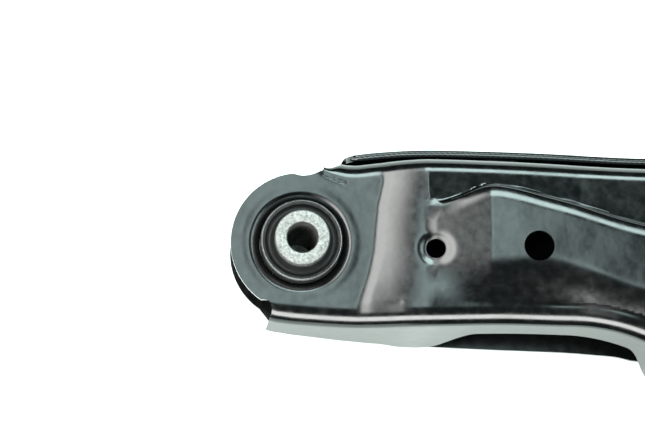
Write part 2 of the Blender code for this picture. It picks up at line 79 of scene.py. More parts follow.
# ---- driving dimensions, as in the frame ----
SHEET = 3.0
GAP = 0.3
FRONT_EAR_R = 33.0
REAR_EAR_R = 40.0
NOSE_R = 39.5
EAR_Z = 19.0
BODY_Z = 23.0
BELLY_Z = 28.0
TONGUE_Z = SHEET + GAP / 2
REST_Z = -34.0

GAP_CENTRE = (125.0, -131.0)     # of the open side between the legs
GAP_R = 102.0
INNER_BEND = 7.0                 # height of the inner bend
INNER_REACH = 10.0               # and its width in plan
OUTER_BEND = 8.0
INNER_DRAFT = 5.5
OUTER_DRAFT = 3.5
TRAY_R = 92.3                    # edge of the lower shell round the open side
SEAM_Z = -5.0                    # lower edge of the upper shell's outer walls
RIM_Z = 1.0                      # upper edge of the lower shell's rims
BEND_ANGLE = 84                  # degrees that a bend turns before its wall starts
END_REACH = 16.0                 # over which a wall grows from its end by the front ear

COLLAR_R = 4.6
COLLAR_DEPTH = 9.0
PAD_HOLE = (111.0, -2.0)
PAD_HOLE_R = 7.1
SMALL_HOLE = (63.0, -3.0)
SMALL_HOLE_R = 4.6
DIMPLE_DEPTH = 0.9
PAD_ROUND = 6.5                  # width of the rounding at the pad's far edge
PAD_INSIDE = 4.5                 # of which this much lies inside the edge
EDGE_SLOPE = 0.5                 # slope at that edge
EDGE_FALL = 0.60                 # and how fast it steepens outside
WAVE = 0.15                      # slow unevenness of the pressed sheet

FRONT_SLEEVE_R = 19.1
FRONT_SLEEVE_HALF = 26.0
REAR_SLEEVE_R = 28.0
REAR_SLEEVE_HALF = 25.0
FRONT_IN = FRONT_SLEEVE_R + GAP  # radius inside each collar
REAR_IN = REAR_SLEEVE_R + GAP
INNER_SLEEVE_R = 12.75
BORE_R = 7.1
INNER_SLEEVE_HALF = 34.0

BALL_R = 13.5
BALL_Z = -8.0
NECK_R = 20.0
RIVET_CIRCLE = 31.0
RIVET_ANGLES = (20, 140, 260)
RIVET_R = 3.5
STUD_TOP = 70.0

THREAD_R = 7.0
THREAD_DEPTH = 0.75
THREAD_PITCH = 1.5
THREAD_LOW = 48.4
NUT_CORNER = 12.7
NUT_BORE = 7.1
NUT_CROWN = 10.6
NUT_LOW = 49.0
NUT_STEP = 56.5                  # where the slots of the nut start
NUT_TOP = 62.0
NUT_SLOT = 1.95                  # half the width of a slot
PIN_Z = 58.6
PIN_WIRE = 0.74
PIN_EYE_S = 13.0                 # distance of the pin's eye from the stud's axis

BEAD_SIDES = 20
BEAD_PITCH = 2.6                 # length of one weld ripple
BEAD_STEP = 0.45
ROUND = 128                      # facets round a turned piece
COLLAR_FACETS = 120              # and round a collar
EDGE_STEP = 2.0                  # spacing along the pressed edges
FINE_STEP = 1.1                  # spacing of the pressed surface by the front bush
COARSE_STEP = 4.0                # and over the rest of the arm
FINE_X = 172.0                   # where the fine spacing ends


# ---- small helpers ----
def smooth(a, b, x):
    t = min(max((x - a) / (b - a), 0.0), 1.0)
    return t * t * (3 - 2 * t)


def distance(p, q):
    return math.hypot(p[0] - q[0], p[1] - q[1])


def round_point(centre, radius, angle):
    return (centre[0] + radius * math.cos(angle), centre[1] + radius * math.sin(angle))


def hole_ring(centre, radius, count):
    return [round_point(centre, radius, 2 * math.pi * i / count) for i in range(count)]


def arc(centre, radius, start, end, step):
    """Points from one angle to another, in degrees, about every step."""
    count = max(2, math.ceil(abs(math.radians(end - start)) * radius / step))
    angles = [math.radians(start + (end - start) * i / count) for i in range(count + 1)]
    return [round_point(centre, radius, a) for a in angles]


def spline(points, step):
    """Catmull-Rom curve through the points, sampled about every step."""
    ends = [points[0]] + list(points) + [points[-1]]
    out = []
    for a, b, c, d in zip(ends, ends[1:], ends[2:], ends[3:]):
        count = max(1, math.ceil(distance(b, c) / step))
        for i in range(count):
            t = i / count
            out.append(tuple(
                0.5 * (2 * b[k] + (c[k] - a[k]) * t
                       + (2 * a[k] - 5 * b[k] + 4 * c[k] - d[k]) * t * t
                       + (3 * b[k] - a[k] - 3 * c[k] + d[k]) * t ** 3)
                for k in (0, 1)))
    out.append(tuple(points[-1]))
    return out


def side_normals(path):
    """Unit vectors to the right of travel, one for each point."""
    out = []
    for i in range(len(path)):
        a = path[max(i - 1, 0)]
        b = path[min(i + 1, len(path) - 1)]
        size = max(distance(a, b), 1e-9)
        out.append(((b[1] - a[1]) / size, (a[0] - b[0]) / size))
    return out


def shifted(line, amount):
    """The line moved sideways, to the right of travel."""
    return [(x + nx * amount, y + ny * amount)
            for (x, y), (nx, ny) in zip(line, side_normals(line))]


def travelled(line):
    """Length of the line up to each of its points."""
    out = [0.0]
    for a, b in zip(line, line[1:]):
        out.append(out[-1] + distance(a, b))
    return out


def off_segment(pts, start, end):
    """Distance of each point of an array from a straight segment."""
    (ax, ay), (bx, by) = start, end
    ex, ey = bx - ax, by - ay
    t = ((pts[:, 0] - ax) * ex + (pts[:, 1] - ay) * ey) / max(ex * ex + ey * ey, 1e-9)
    t = np.clip(t, 0, 1)
    return np.hypot(pts[:, 0] - ax - t * ex, pts[:, 1] - ay - t * ey)


class Loop:
    """A closed outline that tells depth inside it for many points at once."""

    def __init__(self, points):
        self.a = np.array(points, float)
        self.b = np.roll(self.a, -1, axis=0)

    def depth(self, pts):
        pts = np.asarray(pts, float).reshape(-1, 2)
        best = np.full(len(pts), 1e9)
        hits = np.zeros(len(pts), bool)
        for (ax, ay), (bx, by) in zip(self.a, self.b):
            best = np.minimum(best, off_segment(pts, (ax, ay), (bx, by)))
            if ay != by:
                cross = (ay > pts[:, 1]) != (by > pts[:, 1])
                hits ^= cross & (pts[:, 0] < (bx - ax) * (pts[:, 1] - ay) / (by - ay) + ax)
        return np.where(hits, best, -best)


# ---- plan of the arm, counter-clockwise ----
def inner_line(step):
    near = GAP_CENTRE[1] + GAP_R
    return (spline([(-15.2, near + 1.8), (-10, near + 1.2), (25, near - 0.8), (60, near - 0.2),
                    (95, near + 0.5), (125, near)], step)[:-1]
            + arc(GAP_CENTRE, GAP_R, 90, -93.6, step))


def ear_and_outer(step):
    ear = arc(REAR, REAR_EAR_R, 53.5, 320, step)
    outer = spline([ear[-1], (163, -262), (212, -205), (250, -145), (280, -96), (303, -68)], step)
    return ear, outer


INNER_LINE = inner_line(EDGE_STEP)
REAR_EAR, OUTER_LINE = ear_and_outer(EDGE_STEP)
NOSE_EDGE = arc(NOSE, NOSE_R, -62, 100, EDGE_STEP)
FAR_LINE = spline([(300, 22), (262, 28), (215, 30), (161, 30.3), (120, 32), (90, 32.8), (60, 33),
                   (40, 31.8), (26, 30.3), (17, 31.2), (10, 34.5)], EDGE_STEP)
FRONT_EAR = (spline([(8.3, 33.8), (5, 32.4), (0.5, 31.8), (-4.0, 32.75)], EDGE_STEP)[:-1]
             + arc(FRONT, FRONT_EAR_R, 97, 232, EDGE_STEP)
             + [(-18.6, -27.2)])


def table(points, x):
    """Straight lines through (x, y) points, held level past both ends."""
    if x <= points[0][0]:
        return points[0][1]
    for (x0, y0), (x1, y1) in zip(points, points[1:]):
        if x <= x1:
            return y0 + (y1 - y0) * (x - x0) / (x1 - x0)
    return points[-1][1]


def raised(x, y, body, ear):
    """Height of a shell at a place: ears, box section and flat tongue joined smoothly."""
    front = smooth(36, 58, x) if y > -110 else 1.0
    rear = smooth(46, 66, distance((x, y), REAR))
    z = ear + (body - ear) * min(front, rear)
    return TONGUE_Z + (z - TONGUE_Z) * smooth(60, 96, distance((x, y), NOSE))


def ridge(d, width):
    """Bell of height 1 at distance 0."""
    return math.exp(-(d / width) ** 2)


def along_path(points, path):
    """Distance of each point from an open path."""
    best = np.full(len(points), 1e9)
    pts = np.asarray(points, float)
    for start, end in zip(path, path[1:]):
        best = np.minimum(best, off_segment(pts, start, end))
    return best


RIM_CREASE = [(-6, -31.2), (8, -31.8), (19, -32.0), (26, -31.8), (32, -30.8), (46, -28.6)]
PATCH_EDGE = [(10, 33.0), (14, 31.0), (20, 28.6)]
STEP_START = [(-34, 24.5), (-24, 27.5), (-14, 31.0), (-4, 33.4), (8, 34.6), (18, 35.6),
              (29, 38.2)]        # (y, x) where the step begins
STEP_END = 63.5                  # x where it ends
PAD_START = 58.0                 # x where the pad starts to rise
PAD_LEFT = 89.0                  # crease between the pad and the slope up to it
SLOPE_UP = 0.130                 # of the slope between the step and that crease
BODY_FALL = 0.055                # of the body beside the pad
PAD_CLIMB = 0.036                # of the pad towards the ball joint


def step_height(x, y):
    """0 to 1 up the step beside the ear: quick at its start and slow at its end."""
    start = table(STEP_START, y)
    u = min(max((x - start) / (STEP_END - start), 0.0), 1.0)
    return (1 - (1 - u) ** 1.8) * smooth(-0.05, 0.17, u)


def body_top(x):
    """Height of the body beside the pad, which falls away from the step."""
    fall = BODY_FALL * (min(max(x, PAD_START), 132.0) - PAD_START) * smooth(56, 64, x)
    return BODY_Z - fall * (1 - smooth(170, 235, x))


def pad_top(x):
    """Height of the middle of the pad."""
    up = SLOPE_UP * (min(max(x, PAD_START), PAD_LEFT) - PAD_START)
    return BODY_Z + up + PAD_CLIMB * max(x - PAD_LEFT, 0.0)


def softened(points, width):
    """The straight-line table with its corners eased, sampled every millimetre."""
    xs = range(int(points[0][0]) - 4, int(points[-1][0]) + 5)
    out = []
    for x in xs:
        near = [table(points, x + width * (k - 3) / 3) for k in range(7)]
        out.append((x, sum(near) / 7))
    return out


PAD_FAR = softened([(60, 12), (68, 16), (75, 19), (82, 22.8), (90, 24.6), (102, 22.6), (115, 19),
                    (128, 15.6), (141, 11.2), (152, 7.8), (165, 4.5), (180, 3)], 4)
PAD_NEAR = softened([(58, -7), (86, -10), (110, -9.5), (120, -11), (135, -16.5), (154, -24.5),
                     (180, -30)], 8)


def pad_share(x, y):
    """How much of the pad's height is reached at a place of the box."""
    if not 50 < x < 240 or y < -60:
        return 0.0
    near = y - table(PAD_NEAR, x)
    return smooth(-30, 6, near) * smooth(54, 64, x) * (1 - smooth(166, 200, x))


def pad_drop(x, y):
    """How far the pad has rolled off at its far edge: slowly inside it, then steeply."""
    q = max(y - table(PAD_FAR, x) + PAD_INSIDE, 0.0)
    roll = min(q, PAD_ROUND)
    rest = q - roll
    return EDGE_SLOPE * roll ** 2 / (2 * PAD_ROUND) + EDGE_SLOPE * rest + EDGE_FALL * rest ** 2


def upper_heights(points):
    rim = along_path(points, RIM_CREASE)
    patch = along_path(points, PATCH_EDGE)
    out = []
    for (x, y), r, q in zip(points, rim, patch):
        if y > -110 and x < 280:
            body = body_top(x)
            share = pad_share(x, y)
            if share > 0:
                rise = (pad_top(x) - body) * share - pad_drop(x, y) * smooth(60, 84, x)
                body += 0.5 * (rise + math.sqrt(rise * rise + 0.12 * smooth(60, 84, x)))
            z = EAR_Z + (body - EAR_Z) * step_height(x, y)
            rear = smooth(46, 66, distance((x, y), REAR))
            z = EAR_Z + (z - EAR_Z) * rear
            z = TONGUE_Z + (z - TONGUE_Z) * smooth(60, 96, distance((x, y), NOSE))
        else:
            z = raised(x, y, BODY_Z, EAR_Z)
        if x < 200 and y > -60:
            z += WAVE * noise.noise(Vector((x / 21, y / 15, 0.4)))
        z -= 0.22 * ridge(r, 1.1) + 0.3 * ridge(q, 0.8)
        if x < 40 and y > -60:
            ring = distance((x, y), FRONT)
            z += 0.10 * (1 - smooth(25.0, 28.4, ring))
        hole = distance((x, y), SMALL_HOLE)
        if hole < 14:
            z -= DIMPLE_DEPTH * ridge(max(hole - SMALL_HOLE_R - 0.2, 0.0), 2.6)
        out.append(z)
    return out


def lower_heights(points):
    return [-raised(x, y, BELLY_Z, EAR_Z) for x, y in points]


# ---- mesh tools ----
def place(co):
    return ORIGIN + Vector(co) * 0.001


def finish_object(name, bm, material, body, replaced=(), parent_slot=None, smooth_angle=35):
    """Put a bmesh in drawing millimetres into the scene as a piece that rides on a body."""
    mesh = bpy.data.meshes.new(name)
    bm.to_mesh(mesh)
    bm.free()
    for v in mesh.vertices:
        v.co = place(v.co)
    mesh.materials.append(material)
    obj = bpy.data.objects.new(name, mesh)
    bpy.context.collection.objects.link(obj)
    for poly in mesh.polygons:
        poly.use_smooth = True
    if smooth_angle:
        mesh.set_sharp_from_angle(angle=math.radians(smooth_angle))
    if body:
        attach(obj, body)
    if replaced:
        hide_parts(*replaced)
    return obj


def finish_closed(name, bm, *rest):
    """finish_object() for a closed surface, with its faces turned outwards."""
    bmesh.ops.recalc_face_normals(bm, faces=bm.faces)
    return finish_object(name, bm, *rest)


def plan_mesh(bm, loop, holes, heights, step_of, eyes=(), strips=()):
    """Triangulate the plan between a loop and its holes; returns the vertices of each ring.

    Each eye is (centre, first radius, last radius, spacing): rings of points in place of the grid.
    Each strip is (path, half width, spacing): lines of points that follow a path.
    """
    rings = [loop] + holes
    points = [p for ring in rings for p in ring]
    edges = []
    base = 0
    for ring in rings:
        edges += [(base + i, base + (i + 1) % len(ring)) for i in range(len(ring))]
        base += len(ring)
    outline = Loop(loop)
    hole_loops = [Loop(h) for h in holes]
    (x0, y0), (x1, y1) = outline.a.min(0), outline.a.max(0)
    for lo, hi, step in step_of:
        grid = []
        row = 0
        y = y0
        while y < y1:
            x = max(x0, lo) + (step / 2 if row % 2 else 0)
            while x < min(x1, hi):
                grid.append((x, y))
                x += step
            y += step * 0.87
            row += 1
        if not grid:
            continue
        grid = np.array(grid)
        keep = outline.depth(grid) > 0.55 * step
        for h in hole_loops:
            keep &= h.depth(grid) < -0.5 * step
        for (cx, cy), _, last, _ in eyes:
            keep &= np.hypot(grid[:, 0] - cx, grid[:, 1] - cy) > last + 0.5 * step
        for path, half, _ in strips:
            keep &= along_path(grid, path[::4] + [path[-1]]) > half + 0.3 * step
        points += [tuple(p) for p in grid[keep]]
    for path, half, spacing in strips:
        count = round(half / spacing)
        for k in range(-count, count + 1):
            line = np.array(shifted(path, k * spacing))
            keep = outline.depth(line) > 0.8
            for h in hole_loops:
                keep &= h.depth(line) < -0.8
            points += [tuple(p) for p in line[keep]]
    for centre, first, last, spacing in eyes:
        radius = first
        while radius <= last:
            around = np.array(hole_ring(centre, radius, round(2 * math.pi * radius / spacing)))
            points += [tuple(p) for p in around[outline.depth(around) > 0.4 * spacing]]
            radius += spacing
    flat, _, faces, origins, _, _ = delaunay_2d_cdt([Vector(p) for p in points], edges, [], 0, 1e-5)
    zs = heights([(p.x, p.y) for p in flat])
    verts = [bm.verts.new((p.x, p.y, z)) for p, z in zip(flat, zs)]
    place_of = {k: i for i, found in enumerate(origins) for k in found}
    mids = np.array([[sum(flat[i].x for i in f) / 3, sum(flat[i].y for i in f) / 3] for f in faces])
    keep = outline.depth(mids) > 0
    for h in hole_loops:
        keep &= h.depth(mids) < 0
    for face, ok in zip(faces, keep):
        if ok:
            bm.faces.new([verts[i] for i in face])
    out = []
    base = 0
    for ring in rings:
        out.append([verts[place_of[base + i]] for i in range(len(ring))])
        base += len(ring)
    return out


def add_rows(bm, first, rows):
    last = first
    for row in rows:
        fresh = [bm.verts.new(p) for p in row]
        for i in range(len(first) - 1):
            bm.faces.new((last[i], fresh[i], fresh[i + 1], last[i + 1]))
        last = fresh


def wall_between(bm, low, high):
    for i in range(len(low)):
        j = (i + 1) % len(low)
        bm.faces.new((low[i], low[j], high[j], high[i]))


def add_tube_walls(bm, rings):
    for low, high in zip(rings, rings[1:]):
        wall_between(bm, low, high)


def add_closed_tube(bm, rings):
    """Walls between the rings and one face on each end."""
    add_tube_walls(bm, rings)
    bm.faces.new(rings[0])
    bm.faces.new(rings[-1])


def add_collar(bm, ring, centre, profile):
    """Closed rings of (radius, z) inward from a hole's ring of vertices."""
    rings = [ring]
    angles = [math.atan2(v.co.y - centre[1], v.co.x - centre[0]) for v in ring]
    for radius, z in profile:
        rings.append([bm.verts.new((*round_point(centre, radius, a), z)) for a in angles])
    add_tube_walls(bm, rings)


def wall_rows(line, tops, bottoms, bend, draft, turns, steps, reach=None):
    """Rows of points down a rounded bend and a drafted wall, to the right of a line."""
    rows = []
    normals = side_normals(line)
    for k in range(1, turns + steps + 1):
        row = []
        for (x, y), (nx, ny), top, bottom in zip(line, normals, tops, bottoms):
            drop = top - bottom
            r = min(bend, 0.75 * abs(drop))
            wide = r * (reach or bend) / bend
            sign = 1 if drop > 0 else -1
            if k <= turns:
                a = math.radians(BEND_ANGLE * k / turns)
                out, down = wide * math.sin(a), r * (1 - math.cos(a))
            else:
                a = math.radians(BEND_ANGLE)
                start = r * (1 - math.cos(a))
                t = (k - turns) / steps
                down = start + (abs(drop) - start) * t
                out = wide * math.sin(a) + draft * t * min(1.0, abs(drop) / 40)
            row.append((x + nx * out, y + ny * out, top - sign * down))
        rows.append(row)
    return rows


def collar_profile(inner, z, side):
    """Profile of an ear's hole: rolled in to a short neck that grips the sleeve."""
    turns = [math.radians(90 * i / 12) for i in range(1, 13)]
    points = [(inner + COLLAR_R * (1 - math.sin(a)), side * (z - COLLAR_R * (1 - math.cos(a))))
              for a in turns]
    return points + [(inner, side * (z - 0.5 * (COLLAR_R + COLLAR_DEPTH))),
                     (inner, side * (z - COLLAR_DEPTH))]


def pressed(name, bm, material, replaced, down):
    """Give a pressed surface its sheet thickness and softened cut edges."""
    if down:
        bmesh.ops.reverse_faces(bm, faces=bm.faces)
    obj = finish_object(name, bm, material, "arm", (replaced,), "paint", None)
    solid = obj.modifiers.new("sheet", "SOLIDIFY")
    solid.thickness = SHEET * 0.001
    solid.offset = -1
    solid.use_even_offset = True
    solid.use_quality_normals = True
    bevel = obj.modifiers.new("cut_edges", "BEVEL")
    bevel.width = 0.00035
    bevel.segments = 2
    bevel.limit_method = "ANGLE"
    bevel.angle_limit = math.radians(50)
    bevel.harden_normals = True
    return obj


def swept_end(line, rows):
    """Carry the ear's outline on in a curve down the end of the inner wall."""
    out = []
    for row in rows:
        fresh = []
        for s, (x, y), (rx, ry, rz) in zip(travelled(line), line, row):
            lag = 1 - (1 - min(distance((x, y), (rx, ry)) / 8.0, 1.0)) ** 2
            fresh.append((rx + 4.2 * lag * (1 - smooth(0, 14, s)), ry, rz))
        out.append(fresh)
    return out


def eye_holes():
    """Plan of the holes for the two bushes and the ball joint's neck, as both shells have them."""
    return [hole_ring(FRONT, FRONT_IN + COLLAR_R, COLLAR_FACETS),
            hole_ring(REAR, REAR_IN + COLLAR_R, COLLAR_FACETS), hole_ring(NOSE, NECK_R + 0.5, 72)]


def rivet_holes():
    return [hole_ring(p, RIVET_R + 0.4, 24) for p in rivet_centres()]


def add_collars(bm, rings, side):
    """Collars on the first two holes of a shell; side is 1 for the upper one, -1 for the lower."""
    add_collar(bm, rings[1], FRONT, collar_profile(FRONT_IN, EAR_Z, side))
    add_collar(bm, rings[2], REAR, collar_profile(REAR_IN, EAR_Z, side))


def rivet_centres():
    return [round_point(NOSE, RIVET_CIRCLE, math.radians(a)) for a in RIVET_ANGLES]


def near_bottom(x, y):
    """Lower edge of the inner wall of the upper shell, with its long arch."""
    if y < -60:
        x = 200
    full = lower_heights([(x, min(y, -30))])[0] - 2.2
    if y > -60:
        full += (SHEET + GAP + 2.8) * (1 - smooth(172, 184, x))
        full = -1.5 + (full + 1.5) * smooth(-15, 62, x)
        arch = smooth(58, 84, x) * (1 - smooth(160, 182, x))
        full += (5.0 - full) * arch
    return full


def shallow_ends(line, height, target, last=0.4):
    """From a line's own height to target, less at the ends of the line."""
    along = travelled(line)
    out = []
    for s, h in zip(along, height):
        first = s < along[-1] / 2
        least, reach = (0.4, 28) if first else (last, END_REACH)
        share = least + (1 - least) * smooth(0, reach, min(s, along[-1] - s))
        out.append(h + (target - h) * share)
    return out


STEPS = ((-60, FINE_X, FINE_STEP), (FINE_X, 400, COARSE_STEP))


def build_upper(material):
    bm = bmesh.new()
    loop = INNER_LINE + REAR_EAR[1:] + OUTER_LINE[1:] + NOSE_EDGE + FAR_LINE + FRONT_EAR
    holes = eye_holes() + [hole_ring(PAD_HOLE, PAD_HOLE_R, 56),
                           hole_ring(SMALL_HOLE, SMALL_HOLE_R, 64)] + rivet_holes()
    eyes = [(FRONT, FRONT_IN + COLLAR_R + 0.8, 30.5, 0.8),
            (SMALL_HOLE, SMALL_HOLE_R + 0.6, 14.0, 0.6)]
    crest = spline([(x, table(PAD_FAR, x)) for x in range(66, 178, 8)], 1.0)
    rings = plan_mesh(bm, loop, holes, upper_heights, STEPS, eyes, ((crest, 8.0, 0.5),))
    edge = rings[0]
    add_collars(bm, rings, 1)
    first = edge[:len(INNER_LINE)]
    tops = [v.co.z for v in first]
    bottoms = [near_bottom(*p) for p in INNER_LINE]
    rows = wall_rows(INNER_LINE, tops, bottoms, INNER_BEND, INNER_DRAFT, 14, 12, INNER_REACH)
    add_rows(bm, first, swept_end(INNER_LINE, rows))
    start = len(INNER_LINE) + len(REAR_EAR) - 2
    for line, last in ((OUTER_LINE, 0.4), (FAR_LINE, 0.12)):
        first = edge[start:start + len(line)]
        tops = [v.co.z for v in first]
        bottoms = shallow_ends(line, tops, SEAM_Z, last)
        add_rows(bm, first, wall_rows(line, tops, bottoms, OUTER_BEND, OUTER_DRAFT, 10, 8))
        start += len(line) + len(NOSE_EDGE)
    return pressed("upper_shell_pressing", bm, material, "upper_shell", False)


LOWER_OUT = OUTER_DRAFT + SHEET + GAP + 0.6
LOWER_INNER = (spline([(-11, -37.0), (19, -40.5), (56, -43.6), (92, -45.3), (129, -46.6),
                       (147, -47.8), (157, -48.7), (165, -50.6)], EDGE_STEP)[:-1]
               + arc(GAP_CENTRE, TRAY_R, 60, -93.6, EDGE_STEP))
LOWER_OUTER = shifted(OUTER_LINE, LOWER_OUT)
LOWER_FAR = shifted(FAR_LINE, LOWER_OUT)


def build_lower(material):
    bm = bmesh.new()
    loop = LOWER_INNER + REAR_EAR[1:-1] + LOWER_OUTER + NOSE_EDGE + LOWER_FAR + FRONT_EAR
    holes = eye_holes() + rivet_holes()
    rings = plan_mesh(bm, loop, holes, lower_heights, ((-60, 400, COARSE_STEP),))
    edge = rings[0]
    add_collars(bm, rings, -1)
    start = len(LOWER_INNER) + len(REAR_EAR) - 2
    for line in (LOWER_OUTER, LOWER_FAR):
        first = edge[start:start + len(line)]
        tops = [v.co.z for v in first]
        rims = shallow_ends(line, tops, RIM_Z, 0.06)
        add_rows(bm, first, wall_rows(line, tops, rims, OUTER_BEND, 0.0, 8, 8))
        start += len(line) + len(NOSE_EDGE)
    return pressed("lower_shell_pressing", bm, material, "lower_shell", True)


# ---- turned pieces ----
def lathe(name, profile, material, body, replaced, slot, centre=(0.0, 0.0), count=ROUND, sharp=35):
    """Turn a closed (radius, z) profile round the Z axis at centre."""
    bm = bmesh.new()
    rings = []
    for radius, z in profile:
        if radius < 1e-6:
            rings.append([bm.verts.new((centre[0], centre[1], z))])
            continue
        rings.append([bm.verts.new((x, y, z)) for x, y in hole_ring(centre, radius, count)])
    for a, b in zip(rings, rings[1:] + rings[:1]):
        if len(a) == 1 and len(b) == 1:
            continue
        for i in range(count):
            j = (i + 1) % count
            corners = [a[i % len(a)], a[j % len(a)], b[j % len(b)], b[i % len(b)]]
            bm.faces.new(list(dict.fromkeys(corners)))
    return finish_closed(name, bm, material, body, replaced, slot, sharp)


def corner(p0, p1, p2, most, turns=4):
    """Points of a curve that cuts the corner at p1."""
    a, b = p0 - p1, p2 - p1
    reach = min(most, 0.45 * a.length, 0.45 * b.length)
    a, b = p1 + a.normalized() * reach, p1 + b.normalized() * reach
    out = []
    for k in range(turns + 1):
        t = k / turns
        q = a * (1 - t) ** 2 + p1 * 2 * t * (1 - t) + b * t * t
        out.append((q.x, q.y))
    return out


def rounded(points, radius, turns=4):
    """A closed profile with every corner rounded."""
    out = []
    count = len(points)
    for i in range(count):
        p0, p1, p2 = (Vector(points[(i + k) % count]) for k in (-1, 0, 1))
        if p1.x < 1e-6 or (p0 - p1).length < 1e-6 or (p2 - p1).length < 1e-6:
            out.append(tuple(p1))
        else:
            out += corner(p0, p1, p2, radius, turns)
    return out


def rounded_line(points, radius):
    """An open profile with its inner corners rounded."""
    out = [points[0]]
    for p0, p1, p2 in zip(points, points[1:], points[2:]):
        out += corner(Vector(p0), Vector(p1), Vector(p2), radius * 3)
    return out + [points[-1]]


def sleeve(outer, inner, half, c):
    """Profile of a tube with a chamfer c at each corner."""
    return [(outer, c - half), (outer, half - c), (outer - c, half), (inner + c, half),
            (inner, half - c), (inner, c - half), (inner + c, -half), (outer - c, -half)]


def lathe_inner_sleeve(end, centre, material):
    """The inner tube of the front or rear bush, which rides on its own body."""
    profile = rounded(sleeve(INNER_SLEEVE_R, BORE_R, INNER_SLEEVE_HALF, 0.5), 0.35)
    lathe(end + "_inner_sleeve_tube", profile, material, end + "_sleeve",
          (end + "_bush_inner_sleeve",), "bare_sleeve", centre)


def build_front_bush(mats):
    r, h = FRONT_SLEEVE_R, FRONT_SLEEVE_HALF
    tube = [(r, 1 - h), (r, h - 1), (r - 0.55, h), (r - 0.8, h - 0.1), (17.0, h - 1.1),
            (17.0, 1.1 - h), (r - 0.8, 0.1 - h), (r - 0.55, -h)]
    lathe("front_outer_sleeve_tube", rounded(tube, 0.25),
          mats["sleeve"], "arm", ("front_bush_outer_sleeve",), "sleeve_steel")
    a, b = INNER_SLEEVE_R + 0.05, 16.95
    top = FRONT_SLEEVE_HALF
    rise = [(b, top - 1.2), (b - 0.5, top - 2.6), (b - 1.6, top - 3.4), (b - 2.4, top - 3.1),
            (b - 3.0, top - 1.6), (a + 0.5, top + 0.2), (a, top + 0.9)]
    lathe("front_bush_rubber_moulding", rise + [(r, -z) for r, z in reversed(rise)],
          mats["rubber"], "arm", ("front_bush_rubber",), "rubber", sharp=60)
    lathe_inner_sleeve("front", FRONT, mats["bare"])


def kidney(r0, r1, start, end):
    """Curved void of the rear rubber with rounded ends."""
    mid, half = (r0 + r1) / 2, (r1 - r0) / 2
    out = arc(REAR, r1, start, end, 1.5)
    for at, turn in ((end, 0), (start, 180)):
        a = math.radians(at)
        tip = round_point(REAR, mid, a)
        out += arc(tip, half, at + turn, at + turn + 180, 0.7)[1:-1]
        if not turn:
            out += arc(REAR, r0, end, start, 1.5)
    return out


def build_rear_bush(mats):
    tube = rounded(sleeve(REAR_SLEEVE_R, 25.8, REAR_SLEEVE_HALF, 0.6), 0.3)
    lathe("rear_outer_sleeve_tube", tube, mats["sleeve"], "arm", ("rear_bush_outer_sleeve",),
          "sleeve_steel", REAR)
    lathe_inner_sleeve("rear", REAR, mats["bare"])
    half = REAR_SLEEVE_HALF - 2
    rings = [hole_ring(REAR, 25.7, 96), hole_ring(REAR, INNER_SLEEVE_R + 0.1, 72),
             kidney(17.5, 22.0, 35, 145), kidney(17.5, 22.0, 215, 325)]
    bm = bmesh.new()

    def dished(points):
        out = []
        for point in points:
            r = distance(point, REAR)
            dish = 1.6 * math.sin(math.pi * (r - 12.7) / 13.1)
            out.append(half - dish - 0.5 * ridge(r - 16.4, 0.5))
        return out

    top = plan_mesh(bm, rings[0], rings[1:], dished, ((-400, 400, 1.6),))
    below = {}
    for face in list(bm.faces):
        for v in face.verts:
            if v not in below:
                below[v] = bm.verts.new((v.co.x, v.co.y, -v.co.z))
        bm.faces.new([below[v] for v in reversed(face.verts)])
    for ring in top:
        wall_between(bm, [below[v] for v in ring], ring)
    finish_closed("rear_bush_rubber_moulding", bm, mats["rubber"], "arm", ("rear_bush_rubber",),
                  "rubber", 50)


# ---- welds ----
def build_bead(name, line, heights, radius, material, replaced):
    """Weld bead along a line: a round bead whose ripples bow forwards like cooled pools."""
    bm = bmesh.new()
    rings = []
    along = travelled(line)
    for s, (x, y), (nx, ny), z in zip(along, line, side_normals(line), heights):
        swell = 1 + 0.12 * noise.noise(Vector((s * 0.12, 3.1, 0.7)))
        ends = min(1.0, math.sqrt(max(min(s, along[-1] - s), 0.02) / 4))
        ring = []
        for k in range(BEAD_SIDES):
            a = 2 * math.pi * k / BEAD_SIDES
            ripple = abs(math.sin(math.pi * (s + 1.6 * math.cos(2 * a)) / BEAD_PITCH))
            r = radius * swell * ends * (0.9 + 0.13 * ripple)
            ring.append(bm.verts.new((x + nx * r * math.cos(a), y + ny * r * math.cos(a),
                                      z + r * math.sin(a))))
        rings.append(ring)
    add_closed_tube(bm, rings)
    finish_closed(name, bm, material, "arm", (replaced,), "paint", 60)


def resampled(line, step):
    return spline(line[::6] + [line[-1]], step)


def build_welds(material):
    out = OUTER_BEND + OUTER_DRAFT + 1.4
    for name, line in (("rim_weld_outer", OUTER_LINE), ("rim_weld_far", FAR_LINE)):
        path = resampled(shifted(line, out)[8:-8], BEAD_STEP)
        build_bead(name + "_bead", path, [RIM_Z + 0.4] * len(path), 1.5, material, name)
    path = arc(GAP_CENTRE, TRAY_R - 0.5, 56, -88, BEAD_STEP)
    heights = [z - 1.0 for z in lower_heights(path)]
    build_bead("inner_weld_arc_bead", path, heights, 2.0, material, "inner_weld_arc")


# ---- ball joint ----
def sphere_points(radius, start, end, count, z):
    angles = [math.radians(start + (end - start) * i / count) for i in range(count + 1)]
    return [(radius * math.cos(a), z + radius * math.sin(a)) for a in angles]


def thread_radius(z, turn):
    """Radius of the stud's thread at a height and an angle given in turns."""
    phase = (z / THREAD_PITCH - turn) % 1.0
    depth = THREAD_DEPTH * smooth(0.0, 0.42, abs(phase - 0.5) - 0.04)
    fade = smooth(THREAD_LOW, THREAD_LOW + 1.6, z)
    return THREAD_R - depth * fade - max(0.0, z - STUD_TOP + 1.3)


